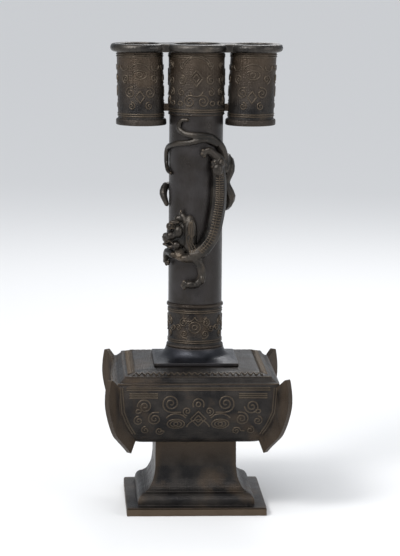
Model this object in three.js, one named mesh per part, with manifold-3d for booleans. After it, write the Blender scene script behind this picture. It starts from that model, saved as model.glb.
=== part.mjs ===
import * as THREE from "three";
import { mergeVertices } from "three/addons/utils/BufferGeometryUtils.js";
import Module from "manifold-3d";

const wasm = await Module();
wasm.setup();

// Millimetres, +Z up, origin at the centre of the underside. The chilong faces -Y.
const GAP = 0.3;
const CRISP = 200;
const ROUND = 2;
const SIDES = 40;
const NECK_RADIUS = 27;
const NECK_BORE = 23;
const BAND_RADIUS = 28;
const RING_RADIUS = 28.6;
const NECK_BOTTOM = 161.3;
const RING_HEIGHT = 204.5;
const BAND_BOTTOM = 395.7;
const RIM_BOTTOM = 458;
const RIM_TOP = 466;
const LUG_OFFSET = 57;
const LUG_RADIUS = 23;
const LUG_BORE = 19;
const LUG_BOTTOM = 385.2;
const LUG_LIP = 25.3;
const LEAN_LEFT = 2;
const LEAN_RIGHT = 2.8;
const FLANGE_THICKNESS = 6;
const VIEW_TURN = THREE.MathUtils.degToRad(-3);

const BASE_SIDE = [[37, 71.3], [50, 71.3], [58, 73], [65.9, 76.6], [70.7, 83.5]];
const WALL_SIDE = [[70.9, 83.8], [75, 90.5], [79.5, 100], [82, 107], [83, 117], [82, 128], [80.1, 134.7]];
const SHOULDER_SIDE = [[80, 135], [73, 141.5], [60, 145], [43, 146]];

function manifoldOf(positions, faces) {
  return new wasm.Manifold(
    new wasm.Mesh({
      numProp: 3,
      vertProperties: new Float32Array(positions),
      triVerts: new Uint32Array(faces),
    }),
  );
}

function solidOf(geometry) {
  const plain = geometry.clone();
  plain.deleteAttribute("normal");
  plain.deleteAttribute("uv");
  const merged = mergeVertices(plain, 1e-4);
  return manifoldOf(merged.attributes.position.array, merged.index.array);
}

function meshOf(name, solid, color, roughness) {
  const made = solid.getMesh();
  const geometry = new THREE.BufferGeometry();
  geometry.setAttribute("position", new THREE.BufferAttribute(made.vertProperties, 3));
  geometry.setIndex(new THREE.BufferAttribute(made.triVerts, 1));
  geometry.computeVertexNormals();
  const material = new THREE.MeshStandardMaterial({ color, roughness, metalness: 0.85 });
  const mesh = new THREE.Mesh(geometry, material);
  mesh.name = name;
  return mesh;
}

// One closed band of rings; each profile row is half width, height and squareness.
function loft(profile, count) {
  const positions = [];
  const faces = [];
  profile.forEach(([half, z, power], row) => {
    const next = (row + 1) % profile.length;
    for (let i = 0; i < count; i += 1) {
      const angle = (2 * Math.PI * i) / count;
      const c = Math.cos(angle);
      const s = Math.sin(angle);
      const reach = half / (Math.abs(c) ** power + Math.abs(s) ** power) ** (1 / power);
      positions.push(reach * c, reach * s, z);
      const j = (i + 1) % count;
      faces.push(row * count + i, row * count + j, next * count + j);
      faces.push(row * count + i, next * count + j, next * count + i);
    }
  });
  return manifoldOf(positions, faces);
}

function squareLoft(profile) {
  return loft(profile.map(([half, z]) => [half, z, CRISP]), 32);
}

function turned(profile) {
  return loft(profile.map(([radius, z]) => [radius, z, ROUND]), SIDES);
}

function drum(radius, low, high, x) {
  const geometry = new THREE.CylinderGeometry(radius, radius, high - low, SIDES);
  geometry.rotateX(Math.PI / 2);
  geometry.translate(x, 0, (low + high) / 2);
  return solidOf(geometry);
}

function box(width, depth, low, high, x) {
  const geometry = new THREE.BoxGeometry(width, depth, high - low);
  geometry.translate(x, 0, (low + high) / 2);
  return solidOf(geometry);
}

function basePlate() {
  return squareLoft([[46, 0], [70, 0], [70, 6.5], [46, 6.5]]);
}

// A thin flange, a quarter-round step and a concave flare up to the belly.
function foot() {
  return squareLoft([
    [53, 6.8], [70, 6.8], [70, 8], [58.8, 8], [58.6, 13], [57, 16.5], [54, 19],
    [50.7, 20.3], [50.9, 21], [49.5, 21.5], [46.7, 24.2], [43.5, 30.6], [41.9, 36.4],
    [40.9, 45], [40.7, 71], [36.7, 71], [36.9, 43], [38.6, 33], [42, 25.5], [46, 20],
    [50, 16.5], [53, 13],
  ]);
}

// The belly shell in three tiers: a dished base, the bulged wall and the shoulder.
function bellyBase() {
  return squareLoft([...BASE_SIDE, [66.2, 83.5], [62, 79.5], [56, 75.3], [37, 75.3]]);
}

function bellyWall() {
  return squareLoft([
    ...WALL_SIDE, [76, 134.7], [78, 127], [79, 117], [78, 108], [75.5, 101.5], [71, 92],
    [66.6, 83.8],
  ]);
}

function bellyShoulder() {
  return squareLoft([...SHOULDER_SIDE, [30, 146], [30, 142], [58, 141.2], [70, 137.8], [75.8, 135]]);
}

function bellyFloor() {
  return box(108, 108, 75.6, 78.6, 0);
}

// A crescent blade set on a corner of the belly, cut back to follow it.
function cornerFlange(turn) {
  const outline = new THREE.Shape();
  outline.moveTo(96, 64);
  outline.splineThru(
    [[101.7, 69.9], [109.7, 77.3], [116.5, 84.4], [122.9, 98], [127.3, 114], [127.2, 128], [124.9, 140]]
      .map(([d, z]) => new THREE.Vector2(d, z)),
  );
  outline.quadraticCurveTo(124.3, 142.2, 122, 140.8);
  outline.lineTo(112.5, 132.5);
  outline.lineTo(98, 125);
  outline.lineTo(86, 90);
  outline.lineTo(89.8, 75.5);
  const geometry = new THREE.ExtrudeGeometry(outline, {
    depth: FLANGE_THICKNESS,
    bevelEnabled: false,
    curveSegments: 3,
  });
  geometry.translate(0, 0, -FLANGE_THICKNESS / 2);
  geometry.rotateX(Math.PI / 2);
  geometry.rotateZ(turn);
  const side = [...BASE_SIDE, ...WALL_SIDE, ...SHOULDER_SIDE];
  const grown = side.map(([half, z]) => [half + GAP, z]);
  const cutter = squareLoft([[5, 71], ...grown, [5, 146.4]]);
  return solidOf(geometry).subtract(cutter);
}

// Square at the belly, round at the neck.
function shoulderCollar() {
  return loft(
    [
      [24, 146.3, ROUND], [42.3, 146.3, CRISP], [42.3, 149.2, CRISP], [41.2, 149.8, CRISP],
      [38.4, 150.6, 4], [34.6, 152.2, ROUND], [31.4, 155.2, ROUND], [29.4, 158.6, ROUND],
      [28.6, 161, ROUND], [24, 161, ROUND],
    ],
    SIDES,
  );
}

function neckLowerBand() {
  return turned([
    [NECK_BORE, NECK_BOTTOM], [RING_RADIUS, NECK_BOTTOM], [RING_RADIUS, 163.4],
    [NECK_RADIUS, 164.6], [NECK_RADIUS, RING_HEIGHT - 2.6], [RING_RADIUS, RING_HEIGHT - 1.5],
    [RING_RADIUS, RING_HEIGHT + 0.6], [NECK_RADIUS, RING_HEIGHT + 1.6],
    [NECK_BORE, RING_HEIGHT + 1.6],
  ]);
}

function neckTube() {
  return turned([
    [NECK_BORE, RING_HEIGHT + 1.9], [NECK_RADIUS, RING_HEIGHT + 1.9],
    [NECK_RADIUS, BAND_BOTTOM - GAP], [NECK_BORE, BAND_BOTTOM - GAP],
  ]);
}

function mouthBand() {
  return turned([
    [NECK_BORE, BAND_BOTTOM], [BAND_RADIUS + 0.4, BAND_BOTTOM], [BAND_RADIUS + 0.4, 396.6],
    [BAND_RADIUS, 397.2], [BAND_RADIUS, RIM_BOTTOM - GAP], [NECK_BORE, RIM_BOTTOM - GAP],
  ]);
}

function lipDisc(radius, x) {
  const profile = [
    [5, RIM_BOTTOM], [radius - 2.6, RIM_BOTTOM], [radius - 0.6, RIM_BOTTOM + 1.6],
    [radius, RIM_BOTTOM + 4], [radius - 0.8, RIM_TOP - 1.2], [radius - 2.4, RIM_TOP], [5, RIM_TOP],
  ];
  return turned(profile).translate([x, 0, 0]);
}

// Three lipped mouths joined by a waist into one plate.
function mouthRim() {
  let rim = lipDisc(34.5, 0);
  for (const side of [-1, 1]) {
    rim = rim.add(lipDisc(29.5, side * LUG_OFFSET));
    rim = rim.add(box(30, 37, RIM_BOTTOM, RIM_TOP, side * 34));
  }
  rim = rim.subtract(drum(NECK_BORE, RIM_BOTTOM - 5, RIM_TOP + 5, 0));
  for (const side of [-1, 1]) {
    rim = rim.subtract(drum(LUG_BORE, RIM_BOTTOM - 5, RIM_TOP + 5, side * LUG_OFFSET));
  }
  return rim;
}

// Leans a tube so its lower end stands nearer the neck while both ends stay level.
function leaned(solid, side, lean) {
  const slope = (side * lean) / (RIM_BOTTOM - LUG_BOTTOM);
  return solid.warp((vertex) => {
    vertex[0] += side * LUG_OFFSET - slope * (RIM_BOTTOM - vertex[2]);
  });
}

function lug(side, lean) {
  const tube = turned([
    [LUG_BORE, LUG_BOTTOM], [LUG_LIP - 0.6, LUG_BOTTOM], [LUG_LIP, LUG_BOTTOM + 1],
    [LUG_LIP, LUG_BOTTOM + 5], [LUG_LIP - 0.6, LUG_BOTTOM + 6], [LUG_RADIUS, LUG_BOTTOM + 6.6],
    [LUG_RADIUS, RIM_BOTTOM - GAP], [LUG_BORE, RIM_BOTTOM - GAP],
  ]);
  return leaned(tube, side, lean);
}

// The solder nub that ties a lug to the neck near the lug's lower end.
function lugBridge(side, lean) {
  const nub = box(14, 9, 399, 406, side * 31);
  const neck = drum(BAND_RADIUS + GAP, 390, 415, 0);
  const tube = leaned(drum(LUG_RADIUS + GAP, 390, 415, 0), side, lean);
  return nub.subtract(neck).subtract(tube);
}

// A place on the chilong: distance across the view, height, distance from the neck axis.
function place([across, height, out, behind = false]) {
  const reach = Math.max(out, Math.abs(across));
  const depth = Math.sqrt(reach * reach - across * across);
  return new THREE.Vector3(across, behind ? depth : -depth, height);
}

// A closed limb along places given as [across, height, out, behind], one radius each.
function limb(places, radii) {
  const sides = 8;
  const steps = places.length * 3;
  const curve = new THREE.CatmullRomCurve3(places.map(place), false, "centripetal");
  const positions = [];
  const faces = [];
  for (let step = 0; step <= steps; step += 1) {
    const t = step / steps;
    const centre = curve.getPoint(t);
    const tangent = curve.getTangent(t);
    const out = new THREE.Vector3(centre.x, centre.y, 0).normalize();
    const across = new THREE.Vector3().crossVectors(tangent, out).normalize();
    const up = new THREE.Vector3().crossVectors(across, tangent).normalize();
    const at = t * (radii.length - 1);
    const low = Math.min(Math.floor(at), radii.length - 2);
    const radius = THREE.MathUtils.lerp(radii[low], radii[low + 1], at - low);
    for (let i = 0; i < sides; i += 1) {
      const angle = (2 * Math.PI * i) / sides;
      const point = centre.clone();
      point.addScaledVector(across, radius * Math.cos(angle));
      point.addScaledVector(up, radius * Math.sin(angle));
      positions.push(...point);
    }
  }
  const first = positions.length / 3;
  const start = curve.getPoint(0).addScaledVector(curve.getTangent(0), -radii[0] * 0.6);
  const end = curve.getPoint(1).addScaledVector(curve.getTangent(1), radii.at(-1) * 0.6);
  positions.push(...start, ...end);
  for (let i = 0; i < sides; i += 1) {
    const j = (i + 1) % sides;
    for (let step = 0; step < steps; step += 1) {
      const row = step * sides;
      faces.push(row + i, row + j, row + sides + j);
      faces.push(row + i, row + sides + j, row + sides + i);
    }
    faces.push(first, j, i);
    faces.push(first + 1, steps * sides + i, steps * sides + j);
  }
  const made = manifoldOf(positions, faces);
  if (made.volume() > 0) return made;
  for (let i = 0; i < faces.length; i += 3) {
    [faces[i + 1], faces[i + 2]] = [faces[i + 2], faces[i + 1]];
  }
  return manifoldOf(positions, faces);
}

function lump(spot, width, depth, height) {
  const geometry = new THREE.SphereGeometry(1, 12, 8);
  geometry.rotateX(Math.PI / 2);
  geometry.scale(width, depth, height);
  geometry.translate(...place(spot));
  return solidOf(geometry);
}

// The chilong: forked tail above, body down the right front, head turned to the left.
function dragon() {
  const pieces = [
    limb(
      [[19, 352, 31], [22.3, 340, 31.5], [22.8, 325, 32], [22.4, 310, 32], [20, 293, 32],
        [15, 274, 32], [3, 259.4, 31.5], [-5, 258, 31]],
      [5.2, 7.4, 8.2, 8.4, 8.4, 8.2, 7.6, 6.2],
    ),
    limb(
      [[26.5, 340, 31], [27.6, 352, 30], [24, 365, 29.5], [14, 374.5, 28.8], [-2, 376.6, 28.5],
        [-12, 378.5, 28.5], [-17.4, 384.5, 28.5], [-14.5, 391, 28.4], [-8, 391.8, 28.2]],
      [6, 5.4, 4.8, 4.2, 3.6, 3.2, 3, 2.4, 1.6],
    ),
    limb(
      [[20, 368, 29], [8, 372.4, 28.7], [-5, 369.6, 28.5], [-22, 366.8, 28.5], [-28.6, 361, 29],
        [-29.4, 348, 29.4], [-28, 339.5, 29], [-24.6, 337, 28.5]],
      [4, 3.4, 3.2, 3, 2.8, 2.6, 2.3, 1.8],
    ),
    limb(
      [[20, 342, 32], [24, 350, 32.5], [17.5, 358, 32], [12, 362, 31.5], [9, 359, 30.5]],
      [7, 5.4, 4.4, 3.8, 2.6],
    ),
    limb(
      [[25, 346, 30], [31, 351, 31], [33.4, 341, 34], [30, 328, 31], [34.5, 313, 34.6],
        [29, 301, 30, true], [14, 300, 29.5, true], [-14, 308, 29.5, true],
        [-29, 323, 30, true], [-32.6, 316, 32.6], [-28.6, 304, 29]],
      [6.4, 6.4, 6, 4.4, 6, 4.6, 3.8, 3.6, 4, 4.2, 2.4],
    ),
    limb(
      [[2, 255, 31], [-10, 254, 31.5], [-21, 257.4, 31.5], [-28, 257.5, 30], [-29.6, 247, 30]],
      [5.4, 5, 4.4, 4.2, 2.8],
    ),
    limb(
      [[0, 255, 31.5], [5, 247, 31.5], [6.8, 235, 31], [1.5, 228, 31], [-8.5, 227.5, 30.5]],
      [5.4, 4.4, 4.4, 4.2, 4.2],
    ),
    limb([[-9, 290, 31], [-12.5, 296, 31], [-15.6, 299.5, 30.5]], [4.2, 3, 1.6]),
    lump([-5.6, 278, 29.5], 7.8, 7, 19.5),
    lump([-20.6, 277, 30], 8.4, 9.5, 15.5),
    lump([-15, 293, 29.5], 7, 5, 4.5),
    lump([-15, 261, 29.5], 7, 5.5, 4.5),
    lump([-27, 272, 33], 6.2, 7, 5),
    lump([-26.5, 266.5, 32], 5, 6, 3.2),
    lump([-26, 285.5, 34.5], 3.4, 3.4, 3.2),
    lump([-29.5, 275.5, 35], 3.4, 4, 2.6),
  ];
  const joined = pieces.reduce((sum, piece) => sum.add(piece));
  const clear = drum(NECK_RADIUS + GAP, 200, BAND_BOTTOM + 10, 0);
  return joined.rotate([0, 0, THREE.MathUtils.radToDeg(VIEW_TURN)]).subtract(clear);
}

const group = new THREE.Group();
const nodes = [
  ["base_plate", basePlate(), 0x4b4239, 0.5],
  ["foot", foot(), 0x54483b, 0.5],
  ["belly_base", bellyBase(), 0x4a4640, 0.45],
  ["belly_wall", bellyWall(), 0x4a4640, 0.45],
  ["belly_shoulder", bellyShoulder(), 0x4a4640, 0.45],
  ["belly_floor", bellyFloor(), 0x3d3833, 0.6],
  ["shoulder_collar", shoulderCollar(), 0x46423d, 0.42],
  ["neck_lower_band", neckLowerBand(), 0x514639, 0.45],
  ["neck_tube", neckTube(), 0x35373b, 0.36],
  ["mouth_band", mouthBand(), 0x504536, 0.45],
  ["mouth_rim", mouthRim(), 0x5c5245, 0.36],
  ["lug_left", lug(-1, LEAN_LEFT), 0x454341, 0.42],
  ["lug_right", lug(1, LEAN_RIGHT), 0x47433f, 0.42],
  ["lug_bridge_left", lugBridge(-1, LEAN_LEFT), 0x3f3b36, 0.5],
  ["lug_bridge_right", lugBridge(1, LEAN_RIGHT), 0x3f3b36, 0.5],
  ["dragon", dragon(), 0x4f4638, 0.38],
];
["back_right", "back_left", "front_left", "front_right"].forEach((corner, index) => {
  const turn = Math.PI / 4 + (index * Math.PI) / 2;
  nodes.push([`corner_flange_${corner}`, cornerFlange(turn), 0x4d4336, 0.42]);
});
nodes.forEach(([name, solid, color, roughness]) => {
  group.add(meshOf(name, solid, color, roughness));
});

export default group;
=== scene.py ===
import math

import bpy
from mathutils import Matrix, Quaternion, Vector
from mathutils.bvhtree import BVHTree


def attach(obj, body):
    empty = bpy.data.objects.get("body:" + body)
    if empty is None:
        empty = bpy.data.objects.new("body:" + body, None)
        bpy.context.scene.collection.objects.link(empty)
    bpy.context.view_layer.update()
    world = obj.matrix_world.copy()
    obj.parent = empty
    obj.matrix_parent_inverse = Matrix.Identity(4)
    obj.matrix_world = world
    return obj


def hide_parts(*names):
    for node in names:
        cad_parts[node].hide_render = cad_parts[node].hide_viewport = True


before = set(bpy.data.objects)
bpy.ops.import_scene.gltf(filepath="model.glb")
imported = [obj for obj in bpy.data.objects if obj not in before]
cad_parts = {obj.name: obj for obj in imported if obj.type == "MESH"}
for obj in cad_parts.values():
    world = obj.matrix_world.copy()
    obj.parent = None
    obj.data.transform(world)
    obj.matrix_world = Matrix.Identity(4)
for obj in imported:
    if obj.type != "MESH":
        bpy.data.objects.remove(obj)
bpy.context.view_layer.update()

# Sizes and places are in millimetres; MM turns them into Blender's metres.
MM = 0.001
# The chilong and the panels on the tubes face the camera, this far round from the front.
VIEW_TURN = math.radians(-3)
RIM_BOTTOM = 458
LUG_BOTTOM = 385.2
# Distance of a lug's axis from the neck's at the rim, and how far each lug leans in below it.
LUG_OFFSET = 57
LEAN = {-1: 2.0, 1: 2.8}
# Squareness of a ring: the power of its superellipse.
CRISP = 80
ROUND = 2
# Radii of the raised lines.
RELIEF_THREAD = 0.75
CHILONG_THREAD = 0.55
# Texture scales, in cells per metre.
CLOUD_SCALE = 60.0
PATCH_SCALE = CLOUD_SCALE * 0.45
PIT_SCALE = CLOUD_SCALE * 16
GROUND_SCALE = 620.0


# Materials


def patina(name, dark, light, wear, roughness, worn, ground=0.0):
    """Dark bronze: cloudy colour, worn high edges, tan patches, pits, and a fine square ground."""
    mat = bpy.data.materials.new(name)
    mat.use_nodes = True
    nodes = mat.node_tree.nodes
    links = mat.node_tree.links
    bsdf = nodes["Principled BSDF"]
    bsdf.inputs["Metallic"].default_value = 0.7
    coord = nodes.new("ShaderNodeTexCoord")

    def noise(noise_scale, detail):
        node = nodes.new("ShaderNodeTexNoise")
        node.inputs["Scale"].default_value = noise_scale
        node.inputs["Detail"].default_value = detail
        links.new(coord.outputs["Object"], node.inputs["Vector"])
        return node.outputs["Fac"]

    def ranged(source, low, high, to_low, to_high):
        node = nodes.new("ShaderNodeMapRange")
        node.inputs["From Min"].default_value = low
        node.inputs["From Max"].default_value = high
        node.inputs["To Min"].default_value = to_low
        node.inputs["To Max"].default_value = to_high
        links.new(source, node.inputs["Value"])
        return node.outputs["Result"]

    def join(operation, first, second):
        node = nodes.new("ShaderNodeMath")
        node.operation = operation
        links.new(first, node.inputs[0])
        links.new(second, node.inputs[1])
        return node.outputs["Value"]

    cloud = noise(CLOUD_SCALE, 8.0)
    ramp = nodes.new("ShaderNodeValToRGB")
    ramp.color_ramp.elements[0].position = 0.36
    ramp.color_ramp.elements[0].color = (*dark, 1)
    ramp.color_ramp.elements[1].position = 0.68
    ramp.color_ramp.elements[1].color = (*light, 1)
    links.new(cloud, ramp.inputs["Fac"])
    geometry = nodes.new("ShaderNodeNewGeometry")
    edges = ranged(geometry.outputs["Pointiness"], 0.51, 0.58, 0.0, worn)
    patches = ranged(noise(PATCH_SCALE, 7.0), 0.56, 0.70, 0.0, worn)
    mix = nodes.new("ShaderNodeMix")
    mix.data_type = "RGBA"
    mix.inputs["B"].default_value = (*wear, 1)
    links.new(join("MAXIMUM", edges, patches), mix.inputs["Factor"])
    links.new(ramp.outputs["Color"], mix.inputs["A"])
    links.new(mix.outputs["Result"], bsdf.inputs["Base Color"])
    links.new(ranged(cloud, 0.3, 0.7, roughness - 0.07, roughness + 0.12), bsdf.inputs["Roughness"])

    height = ranged(noise(PIT_SCALE, 5.0), 0.2, 0.8, 0.0, 0.5)
    if ground:
        cells = nodes.new("ShaderNodeTexVoronoi")
        cells.distance = "CHEBYCHEV"
        cells.inputs["Scale"].default_value = GROUND_SCALE
        cells.inputs["Randomness"].default_value = 0.35
        links.new(coord.outputs["Object"], cells.inputs["Vector"])
        height = join("ADD", height, ranged(cells.outputs["Distance"], 0.1, 0.5, 0.0, ground))
    bump = nodes.new("ShaderNodeBump")
    bump.inputs["Strength"].default_value = 0.55
    bump.inputs["Distance"].default_value = 0.0005
    links.new(height, bump.inputs["Height"])
    links.new(bump.outputs["Normal"], bsdf.inputs["Normal"])
    return mat


PLAIN = patina("bronze_plain", (0.008, 0.009, 0.012), (0.027, 0.028, 0.034),
               (0.075, 0.058, 0.042), roughness=0.34, worn=0.3)
FIELD = patina("bronze_field", (0.010, 0.009, 0.009), (0.036, 0.031, 0.027),
               (0.10, 0.067, 0.040), roughness=0.42, worn=0.45, ground=1.0)
# Raised lines: a lighter copy of the field bronze. The extra lightness is a painted highlight on the
# threads; their worn edges and tan patches are wear.
THREAD_PAINTED_HIGHLIGHT = patina("bronze_thread_painted_highlight", (0.020, 0.018, 0.016), (0.058, 0.049, 0.040),
                (0.13, 0.095, 0.062), roughness=0.38, worn=0.5)
WORN = patina("bronze_worn", (0.014, 0.013, 0.012), (0.048, 0.041, 0.034),
              (0.15, 0.105, 0.065), roughness=0.34, worn=0.5)
RIM = patina("bronze_rim", (0.016, 0.015, 0.014), (0.060, 0.053, 0.046),
             (0.17, 0.14, 0.11), roughness=0.32, worn=0.55)


def keep(name, finish, bevel):
    """Keeps a CAD node, with a better finish and softened edges."""
    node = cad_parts[name]
    for slot in node.material_slots:
        slot.material = finish
    if bevel:
        soften = node.modifiers.new("soften", "BEVEL")
        soften.width = bevel * MM
        soften.segments = 3
        soften.limit_method = "ANGLE"
        soften.angle_limit = math.radians(35)


keep("base_plate", WORN, 0.7)
keep("belly_floor", PLAIN, 0)
keep("lug_bridge_left", FIELD, 0.5)
keep("lug_bridge_right", FIELD, 0.5)
for corner in ("front_left", "front_right", "back_left", "back_right"):
    keep("corner_flange_" + corner, FIELD, 0.9)


# Cast bodies


def add_piece(name, mesh, finish, slot, *nodes):
    piece = bpy.data.objects.new(name, mesh)
    bpy.context.collection.objects.link(piece)
    mesh.materials.clear()
    mesh.materials.append(finish)
    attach(piece, "root")
    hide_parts(*nodes)
    return piece


def eased(points, steps=4):
    """A smooth run through profile points."""
    run = []
    last = len(points) - 1
    for i in range(last):
        p0, p1 = points[max(i - 1, 0)], points[i]
        p2, p3 = points[i + 1], points[min(i + 2, last)]
        for step in range(steps):
            t = step / steps
            run.append(tuple(
                0.5 * (2 * b + (c - a) * t + (2 * a - 5 * b + 4 * c - d) * t * t
                       + (3 * b - a - 3 * c + d) * t ** 3)
                for a, b, c, d in zip(p0, p1, p2, p3)
            ))
    run.append(points[last])
    return run


def lug_shift(side, z):
    """Where a leaning lug's axis stands at a height; 0 for a body on the neck's axis."""
    if not side:
        return 0.0
    return side * (LUG_OFFSET - LEAN[side] * (RIM_BOTTOM - z) / (RIM_BOTTOM - LUG_BOTTOM))


def cast(name, rows, finish, slot, nodes, count=128, side=0):
    """A closed ring body; each row is half width, height and squareness, in millimetres."""
    verts = []
    for half, z, power in rows:
        shift = lug_shift(side, z)
        for i in range(count):
            angle = 2 * math.pi * i / count
            c, s = math.cos(angle), math.sin(angle)
            reach = half / (abs(c) ** power + abs(s) ** power) ** (1 / power)
            verts.append(((reach * c + shift) * MM, reach * s * MM, z * MM))
    faces = []
    for row in range(len(rows)):
        above = (row + 1) % len(rows)
        for i in range(count):
            j = (i + 1) % count
            faces.append((row * count + i, row * count + j, above * count + j, above * count + i))
    mesh = bpy.data.meshes.new(name)
    mesh.from_pydata(verts, [], faces)
    mesh.polygons.foreach_set("use_smooth", [True] * len(faces))
    mesh.set_sharp_from_angle(angle=math.radians(34))
    return add_piece(name, mesh, finish, slot, *nodes)


def square(rows):
    return [(half, z, CRISP) for half, z in rows]


def turned(rows):
    return [(radius, z, ROUND) for radius, z in rows]


BULGE = eased([(58, 73), (65.9, 76.6), (70.7, 83.5), (75, 90.5), (79.5, 100), (82, 107),
               (83, 117), (82, 128), (80.2, 134.6)])

cast("foot_body", square(
    [(53, 6.8), (69.4, 6.8), (69.9, 7.3), (69.3, 7.9), (59.2, 8)]
    + eased([(58.8, 8.4), (58.6, 13), (57, 16.5), (54, 19), (51.2, 20.1)])
    + [(50.9, 20.9), (50.2, 21)]
    + eased([(49.5, 21.5), (46.7, 24.2), (43.5, 30.6), (41.9, 36.4), (40.9, 45)])
    + [(40.7, 71), (36.7, 71), (36.9, 43), (38.6, 33), (42, 25.5), (46, 20), (50, 16.5), (53, 13)]
), FIELD, "foot", ["foot"])

cast("belly_body", square(
    [(37, 71.3), (50, 71.3)] + BULGE
    + [(80.6, 135), (80.4, 136), (79, 136.4)]
    + eased([(78.3, 136.6), (75.8, 138.6), (73.6, 140.6)])
    + [(73.6, 141.6), (72.6, 142.2), (71.4, 142)]
    + eased([(70.6, 142.1), (60, 144.8), (43, 145.9)])
    + [(30, 146), (30, 142), (58, 141), (70, 137.4), (75.8, 133), (78, 126), (79, 117), (78, 108),
       (75.5, 101.5), (71, 92), (66.7, 85), (62, 79.5), (56, 75.3), (37, 75.3)]
), FIELD, "belly", ["belly_base", "belly_wall", "belly_shoulder"])

cast("collar_body", [
    (24, 146.3, ROUND), (42, 146.3, CRISP), (42.3, 146.7, CRISP), (42.3, 148.9, CRISP),
    (41.9, 149.4, CRISP), (41.2, 149.6, CRISP), (40.2, 149.5, 30), (38.8, 150.2, 7),
    (36.8, 151.2, 3), (34.6, 152.4, ROUND), (32.9, 153.6, ROUND), (31.4, 155.3, ROUND),
    (30.2, 157.2, ROUND), (29.4, 159.2, ROUND), (28.9, 161, ROUND), (24, 161, ROUND),
], PLAIN, "shoulder_collar", ["shoulder_collar"])

cast("neck_band_body", turned([
    (23, 161.3), (28.3, 161.3), (28.6, 161.8), (28.6, 163), (28.2, 163.7), (27.2, 164.3),
    (27, 164.8), (27, 201.6), (27.5, 202.1), (28.3, 202.8), (28.6, 203.9), (28.4, 205),
    (27.6, 205.8), (27, 206.1), (23, 206.1),
]), FIELD, "neck_lower_band", ["neck_lower_band"])

cast("neck_body", turned([(23, 206.4), (27, 206.4), (27, 395.4), (23, 395.4)]),
     PLAIN, "neck_tube", ["neck_tube"])

cast("mouth_band_body", turned([
    (23, 395.7), (28.2, 395.7), (28.4, 396.2), (28.3, 396.8), (28, 397.3), (28, 457.7), (23, 457.7),
]), FIELD, "mouth_band", ["mouth_band"])

for side, word in ((-1, "left"), (1, "right")):
    cast("lug_body_" + word, turned([
        (19, 385.2), (24.6, 385.2), (25.1, 385.6), (25.3, 386.4), (25.2, 389.8), (24.8, 390.8),
        (24, 391.4), (23.2, 391.8), (23, 392.4), (23, 457.7), (19, 457.7),
    ]), FIELD, "lugs", ["lug_" + word], side=side)


def place(across, height, out):
    """A place on the chilong, turned to face the view as the casting is, in millimetres."""
    reach = max(out, abs(across))
    depth = -math.sqrt(reach * reach - across * across)
    c, s = math.cos(VIEW_TURN), math.sin(VIEW_TURN)
    return Vector((across * c - depth * s, across * s + depth * c, height))


def lumps(spots):
    """Round lumps to melt into a casting; each is across, height, out, and three half sizes."""
    verts, faces = [], []
    rings, count = 8, 12
    for across, height, out, *size in spots:
        centre = place(across, height, out)
        width, depth, tall = size if len(size) == 3 else size * 3
        first = len(verts)
        for ring in range(1, rings):
            tilt = math.pi * ring / rings
            for i in range(count):
                angle = 2 * math.pi * i / count
                verts.append((centre + Vector((width * math.sin(tilt) * math.cos(angle),
                                               depth * math.sin(tilt) * math.sin(angle),
                                               -tall * math.cos(tilt)))) * MM)
        verts.append((centre + Vector((0, 0, -tall))) * MM)
        verts.append((centre + Vector((0, 0, tall))) * MM)
        low, high = len(verts) - 2, len(verts) - 1
        for i in range(count):
            j = (i + 1) % count
            faces.append((low, first + j, first + i))
            for ring in range(rings - 2):
                row = first + ring * count
                faces.append((row + i, row + j, row + count + j, row + count + i))
            top = first + (rings - 2) * count
            faces.append((high, top + i, top + j))
    return verts, faces


def softened(node_name, name, voxel, rounds, finish, slot, spots=()):
    """A finer, rounded form of a CAD node that stands for it, with lumps melted in."""
    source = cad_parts[node_name].data
    verts, faces = lumps(spots)
    shift = len(source.vertices)
    mesh = bpy.data.meshes.new(name)
    mesh.from_pydata([v.co for v in source.vertices] + verts, [],
                     [tuple(p.vertices) for p in source.polygons]
                     + [tuple(shift + v for v in face) for face in faces])
    piece = bpy.data.objects.new(name, mesh)
    bpy.context.collection.objects.link(piece)
    remesh = piece.modifiers.new("remesh", "REMESH")
    remesh.mode = "VOXEL"
    remesh.voxel_size = voxel * MM
    smooth = piece.modifiers.new("smooth", "SMOOTH")
    smooth.factor = 0.5
    smooth.iterations = rounds
    graph = bpy.context.evaluated_depsgraph_get()
    made = bpy.data.meshes.new_from_object(piece.evaluated_get(graph))
    bpy.data.objects.remove(piece)
    made.polygons.foreach_set("use_smooth", [True] * len(made.polygons))
    return add_piece(name, made, finish, slot, node_name)


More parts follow.
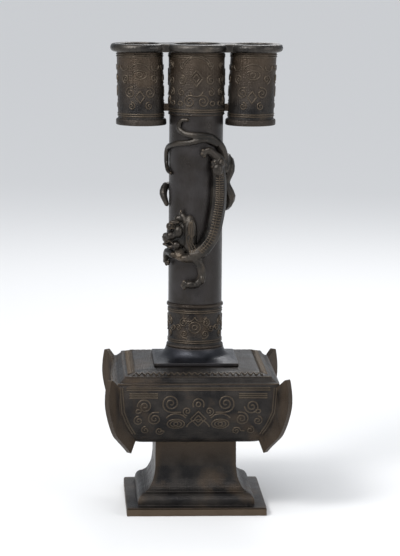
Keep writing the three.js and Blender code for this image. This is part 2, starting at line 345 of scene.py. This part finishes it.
FACE_AND_PAWS = [
    # The head: skull, eye, brow, snout, nostril, jaw, cheek, temple, the ear's tip and the mane.
    (-20.5, 277, 33, 8.2, 6.8, 14.5), (-14, 277, 32, 5, 4.5, 12),
    (-25.4, 286, 40.5, 3.4), (-21, 290.4, 39, 5.6, 3, 2.3),
    (-24.5, 277, 41.2, 5.4, 4.6, 4.4), (-28, 273.5, 41.5, 4.6, 4.2, 3.8),
    (-31.2, 274.8, 41.5, 2.3, 2.2, 1.9),
    (-29, 267.6, 39.5, 4, 4, 1.8), (-24, 265.6, 38.5, 5, 4.5, 2.2),
    (-19, 267.5, 37.5, 4.4, 4, 4), (-17, 281, 38, 4.6, 4, 6),
    (-14.6, 298.5, 31.5, 1.7, 2.2, 4.2), (-3.4, 284, 36, 4.4, 2.6, 9.5),
    # The haunch at the right, and the three toes of its paw.
    (25.5, 349.5, 38, 3.6, 3.6, 4.4), (21.5, 343, 38.5, 5.4, 4, 6.5),
    (7.2, 361.6, 31.5, 2.2), (6.4, 358.6, 31.5, 2.2), (8.4, 356.4, 31.5, 2),
    # The three toes of the left fore paw.
    (-28.8, 246, 31, 2, 2, 2.8), (-30.6, 247.6, 31, 2, 2, 2.6), (-27, 247.2, 31, 2, 2, 2.8),
    # The lowest paw with its toes, and its wrist.
    (-4, 227.6, 33, 6.6, 4.2, 4.2), (-10.8, 229.8, 33, 2.5), (-12, 226.8, 33, 2.5),
    (-10.4, 224.2, 33, 2.4), (7, 233, 33, 3.6, 3.6, 5),
    # The left fore limb, under the chin.
    (-21, 256.8, 34, 6, 4, 3.6), (-9, 254, 35, 7, 4, 4),
]
softened("mouth_rim", "rim_body", voxel=0.7, rounds=3, finish=RIM, slot="mouth_rim")
chilong = softened("dragon", "chilong_body", voxel=0.6, rounds=5, finish=WORN, slot="dragon",
                   spots=FACE_AND_PAWS)


# Thread relief


def threads(name, lines, radius, finish):
    """Raised lines, half sunk in the surface; each line is a list of points in millimetres."""
    curve = bpy.data.curves.new(name, "CURVE")
    curve.dimensions = "3D"
    curve.bevel_depth = radius * MM
    curve.bevel_resolution = 2
    curve.use_fill_caps = True
    for points in lines:
        spline = curve.splines.new("POLY")
        spline.points.add(len(points) - 1)
        for target, point in zip(spline.points, points):
            target.co = (*(value * MM for value in point), 1)
    curve.materials.append(finish)
    piece = bpy.data.objects.new(name, curve)
    bpy.context.collection.objects.link(piece)
    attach(piece, "root")


def spiral(x, z, radius, turns, spin, start, tail=0.0, count=31):
    """A scroll winding in to a tenth of its radius, with a short straight tail where one is given."""
    points = []
    for step in range(count + 1):
        t = step / count
        angle = start + spin * turns * 2 * math.pi * t
        reach = radius * (1 - 0.9 * t)
        points.append((x + reach * math.cos(angle), z + reach * math.sin(angle)))
    if tail:
        points.insert(0, (points[0][0] + tail, points[0][1]))
    return points


def oval(x, z, width, height, count=22):
    return [(x + width * math.cos(2 * math.pi * i / count),
             z + height * math.sin(2 * math.pi * i / count))
            for i in range(count + 1)]


def lozenge(x, z, width, height):
    return [(x, z + height), (x + width, z), (x, z - height), (x - width, z), (x, z + height)]


def arc(x, z, radius, start, end, count=12):
    return [(x + radius * math.cos(math.radians(start + (end - start) * i / count)),
             z + radius * math.sin(math.radians(start + (end - start) * i / count)))
            for i in range(count + 1)]


def dense(line, gap=1.2):
    """The line with points close enough to follow a curved surface."""
    run = []
    for (x0, z0), (x1, z1) in zip(line, line[1:]):
        steps = max(1, int(math.hypot(x1 - x0, z1 - z0) / gap))
        run += [(x0 + (x1 - x0) * i / steps, z0 + (z1 - z0) * i / steps) for i in range(steps)]
    return run + [line[-1]]


def wrapped(line, radius, turn=0.0, side=0):
    """Lays a flat line round a tube: x is arc length, z stays."""
    points = []
    for x, z in dense(line):
        angle = x / radius + turn
        points.append((lug_shift(side, z) + radius * math.sin(angle), -radius * math.cos(angle), z))
    return points


def mouth_panel(z):
    """A lozenge between arches and paired curls."""
    lines = [lozenge(0, z + 6, 6.5, 8), lozenge(0, z + 6, 3.2, 4), arc(0, z + 14, 13, 25, 155),
             arc(0, z + 12, 16.5, 20, 160), arc(0, z - 5, 7, 200, 340)]
    for side in (-1, 1):
        facing = math.pi / 2
        lines.append(spiral(side * 6.8, z - 17, 6, 1.7, -side, facing, -side * 3))
        lines.append(spiral(side * 15, z + 4, 5, 1.6, side, facing))
        lines.append(spiral(side * 15.5, z - 8, 4, 1.5, -side, facing))
        lines.append(spiral(side * 14, z + 19, 3.8, 1.4, side, -facing))
        lines.append(oval(side * 17, z - 19, 2.6, 2))
    return lines


def lug_panel(z):
    """An eye over paired scrolls."""
    lines = [oval(0, z + 10, 7, 4.4), oval(0, z + 10, 2.6, 2.4), arc(0, z + 9, 12, 30, 150),
             lozenge(0, z - 12, 4.5, 6)]
    for side in (-1, 1):
        lines.append(spiral(side * 10, z - 8, 5.6, 1.7, -side, math.pi / 2, -side * 3))
        lines.append(spiral(side * 15, z + 6, 4.6, 1.6, side, -math.pi / 2))
        lines.append(spiral(side * 9, z - 21, 4, 1.5, side, math.pi / 2))
        lines.append(arc(side * 17, z + 19, 5, 180, 360))
    return lines


def neck_panel(z):
    """A round boss between arcs and hooked spirals."""
    lines = [oval(0, z, 5.6, 5.6), oval(0, z, 2.4, 2.4),
             arc(-6, z + 12, 6, 190, 350), arc(6, z + 12, 6, 190, 350)]
    for side in (-1, 1):
        lines.append(spiral(side * 11.5, z + 4.5, 4.4, 1.6, -side, math.pi / 2, -side * 3))
        lines.append(spiral(side * 10.5, z - 7, 4, 1.5, side, -math.pi / 2, -side * 3))
        lines.append(spiral(side * 17.5, z - 1, 3.6, 1.4, side, math.pi))
    return lines


def tube_relief(name, panel, middle, low, high, radius, count, side=0):
    """Panels side by side round a tube, between two pairs of plain rings."""
    lines = []
    for index in range(count):
        turn = 2 * math.pi * index / count + VIEW_TURN
        lines += [wrapped(line, radius, turn, side) for line in panel(middle)]
    round_length = 2 * math.pi * radius
    for z in (low, low + 2, high - 2, high):
        lines.append(wrapped([(0, z), (round_length, z)], radius, 0, side))
    threads(name, lines, RELIEF_THREAD, THREAD_PAINTED_HIGHLIGHT)


tube_relief("mouth_band_relief", mouth_panel, middle=427, low=399.5, high=455.5,
            radius=28, count=4)
tube_relief("neck_band_relief", neck_panel, middle=183, low=167, high=199.5,
            radius=27, count=4)
for side, word in ((-1, "left"), (1, "right")):
    tube_relief("lug_" + word + "_relief", lug_panel, middle=426, low=394.5, high=455.5,
                radius=23, count=3, side=side)

# Half width of the belly's outside against height, for laying lines on a face.
BELLY_FACE = BULGE + [(80.6, 135), (79, 136.4), (75.8, 138.6), (73.6, 141.4), (72.6, 142.2),
                      (60, 144.8), (43, 145.9)]


def belly_half(z):
    """The belly's half width at a height, read along BELLY_FACE."""
    for (h0, z0), (h1, z1) in zip(BELLY_FACE, BELLY_FACE[1:]):
        if z <= z1:
            return h0 + (h1 - h0) * (z - z0) / max(z1 - z0, 0.01)
    return BELLY_FACE[-1][0]


def mask_panel():
    """A beast mask: lozenge, nose, eyes, horns and side figures, in x and z."""
    lines = [lozenge(0, 101, 7.5, 8), lozenge(0, 101, 3.6, 3.8), arc(0, 116, 5.5, -30, 210),
             oval(0, 116, 2.2, 2.2), arc(0, 88, 12, 20, 160), [(-71, 132), (71, 132)],
             [(-71, 130), (71, 130)]]
    for z in (126.5, 124.5, 122.5):
        lines.append([(-68, z), (-40, z)])
        lines.append([(40, z), (68, z)])
    for side in (-1, 1):
        up = math.pi / 2
        lines.append(oval(side * 22, 95.5, 8.5, 5))
        lines.append(oval(side * 22, 95.5, 5.6, 3.4))
        lines.append(oval(side * 22, 95.5, 2, 2))
        lines.append(arc(side * 22, 94, 12.5, 40, 140))
        lines.append(spiral(side * 27, 117, 9, 2.1, side, -up, -side * 10))
        lines.append(spiral(side * 11, 109, 4.6, 1.5, side, -up))
        lines.append(spiral(side * 43, 101, 7, 1.9, -side, up, -side * 4))
        lines.append(spiral(side * 53, 114, 7.4, 1.9, side, math.pi))
        lines.append(spiral(side * 59, 99, 5, 1.6, -side, up))
        lines.append(oval(side * 59, 109, 2.4, 1.8))
        lines.append(spiral(side * 38, 87.5, 4.4, 1.6, side, 0, side * 4))
        lines.append(spiral(side * 52, 88.5, 4.2, 1.5, -side, up))
        lines.append([(side * 62, 84), (side * 68, 95), (side * 73, 108), (side * 75, 132)])
        lines.append([(side * 64.5, 84), (side * 70.5, 95), (side * 75.5, 108), (side * 77.5, 132)])
    return lines


def shoulder_panel():
    """A chain of small triangles on the sloping shoulder."""
    teeth, low, high, reach = 22, 142.9, 144.3, 64
    width = 2 * reach / teeth
    lines = []
    for i in range(teeth):
        x = -reach + i * width
        lines.append([(x, low), (x + width / 2, high), (x + width, low)])
    return lines


for index, face in enumerate(("front", "right", "back", "left")):
    turn = index * math.pi / 2
    c, s = math.cos(turn), math.sin(turn)
    placed = []
    for line in mask_panel() + shoulder_panel():
        points = []
        for x, z in dense(line):
            depth = belly_half(z)
            points.append((x * c + depth * s, x * s - depth * c, z))
        placed.append(points)
    threads("belly_relief_" + face, placed, RELIEF_THREAD, THREAD_PAINTED_HIGHLIGHT)


# Chilong details


def chilong_details():
    """Spine with vertebra ticks, mane lines, eye ring and mouth, laid on the casting."""
    body = BVHTree.FromPolygons([v.co / MM for v in chilong.data.vertices],
                                [tuple(p.vertices) for p in chilong.data.polygons])

    def laid(points):
        return [tuple(body.find_nearest(Vector(point))[0]) for point in points]

    path = [place(*point) for point in eased(
        [(22.3, 340, 31.5), (22.8, 325, 32), (22.4, 310, 32), (20, 293, 32), (15, 274, 32),
         (5, 261.5, 31.5)], steps=7)]
    body_radius = 9
    to_view = Vector((-0.5, -1.4, 0))
    lines, spine = [], []
    for before, centre, after in zip(path, path[1:], path[2:]):
        along = (after - before).normalized()
        outward = (Vector((centre.x, centre.y, 0)).normalized() + to_view).normalized()
        across = along.cross(outward).normalized()
        spine.append(centre + outward * body_radius)
        lines.append(laid([
            centre + (outward * math.cos(turn) + across * math.sin(turn)) * body_radius
            for turn in (-0.5, -0.25, 0, 0.25, 0.5)
        ]))
    lines.append(laid(spine))
    steps = [i / 8 for i in range(-8, 9)]
    for offset in (-4.6, -1.6, 1.4, 4.2):
        lines.append(laid([
            place(-5.6 + offset * (1 - 0.45 * t * t), 278 + 15.5 * t, 42) for t in steps
        ]))
    lines.append(laid([place(-27 + 4 * t, 270 + 0.8 * math.sin(5 * t), 43.5) for t in steps]))
    lines.append(laid([
        place(-25.4 + 3.2 * math.cos(math.pi * t), 286 + 3 * math.sin(math.pi * t), 42.5)
        for t in steps
    ]))
    threads("chilong_lines", lines, CHILONG_THREAD, THREAD_PAINTED_HIGHLIGHT)


chilong_details()


# Studio and camera

bpy.ops.mesh.primitive_plane_add(size=40, location=(0, 0, -0.0002))
floor = bpy.context.object
floor.name = "floor"
floor_mat = bpy.data.materials.new("studio_floor")
floor_mat.use_nodes = True
floor_bsdf = floor_mat.node_tree.nodes["Principled BSDF"]
floor_bsdf.inputs["Base Color"].default_value = (0.82, 0.82, 0.82, 1)
floor_bsdf.inputs["Roughness"].default_value = 0.9
floor.data.materials.append(floor_mat)

world = bpy.data.worlds.new("studio")
bpy.context.scene.world = world
world.use_nodes = True
tree = world.node_tree
room = tree.nodes["Background"]
room.inputs["Color"].default_value = (0.80, 0.84, 0.90, 1)
room.inputs["Strength"].default_value = 0.5
plain = tree.nodes.new("ShaderNodeBackground")
plain.inputs["Color"].default_value = (0.86, 0.86, 0.86, 1)
plain.inputs["Strength"].default_value = 1.0
ray = tree.nodes.new("ShaderNodeLightPath")
choice = tree.nodes.new("ShaderNodeMixShader")
tree.links.new(ray.outputs["Is Camera Ray"], choice.inputs["Fac"])
tree.links.new(room.outputs["Background"], choice.inputs[1])
tree.links.new(plain.outputs["Background"], choice.inputs[2])
tree.links.new(choice.outputs["Shader"], tree.nodes["World Output"].inputs["Surface"])


def soft_light(name, spot, size, power):
    light = bpy.data.lights.new(name, "AREA")
    light.shape = "SQUARE"
    light.size = size
    light.energy = power
    lamp = bpy.data.objects.new(name, light)
    lamp.location = spot
    aim = Vector((0, 0, 0.22)) - Vector(spot)
    lamp.rotation_euler = aim.to_track_quat("-Z", "Y").to_euler()
    bpy.context.collection.objects.link(lamp)


soft_light("key", (-1.1, -1.2, 1.6), 0.6, 26)
soft_light("fill", (1.5, -1.0, 0.9), 0.8, 9)
soft_light("back", (0.4, 1.5, 1.5), 0.9, 12)
sun = bpy.data.lights.new("sky", "SUN")
sun.energy = 1.3
sun.angle = math.radians(50)
sky = bpy.data.objects.new("sky", sun)
sky.rotation_euler = (math.radians(28), math.radians(-22), 0)
bpy.context.collection.objects.link(sky)

# The camera as fitted to the photograph, in metres and degrees.
CAMERA_LENS = 161.87
CAMERA_SPOT = (-0.13084, -2.49657, 0.6045)
PITCH = math.radians(8.53)
HEADING = math.radians(3.115)
ROLL = math.radians(0.45)

camera_data = bpy.data.cameras.new("camera")
camera_data.lens = CAMERA_LENS
camera_data.sensor_width = 36
camera_data.clip_end = 100
camera = bpy.data.objects.new("camera", camera_data)
bpy.context.collection.objects.link(camera)
bpy.context.scene.camera = camera
camera.location = CAMERA_SPOT
ahead = Vector((math.sin(HEADING) * math.cos(PITCH), math.cos(HEADING) * math.cos(PITCH),
                -math.sin(PITCH)))
roll = Quaternion((0, 0, 1), ROLL)
camera.rotation_euler = (ahead.to_track_quat("-Z", "Y") @ roll).to_euler()

bpy.context.scene.view_settings.view_transform = "Standard"
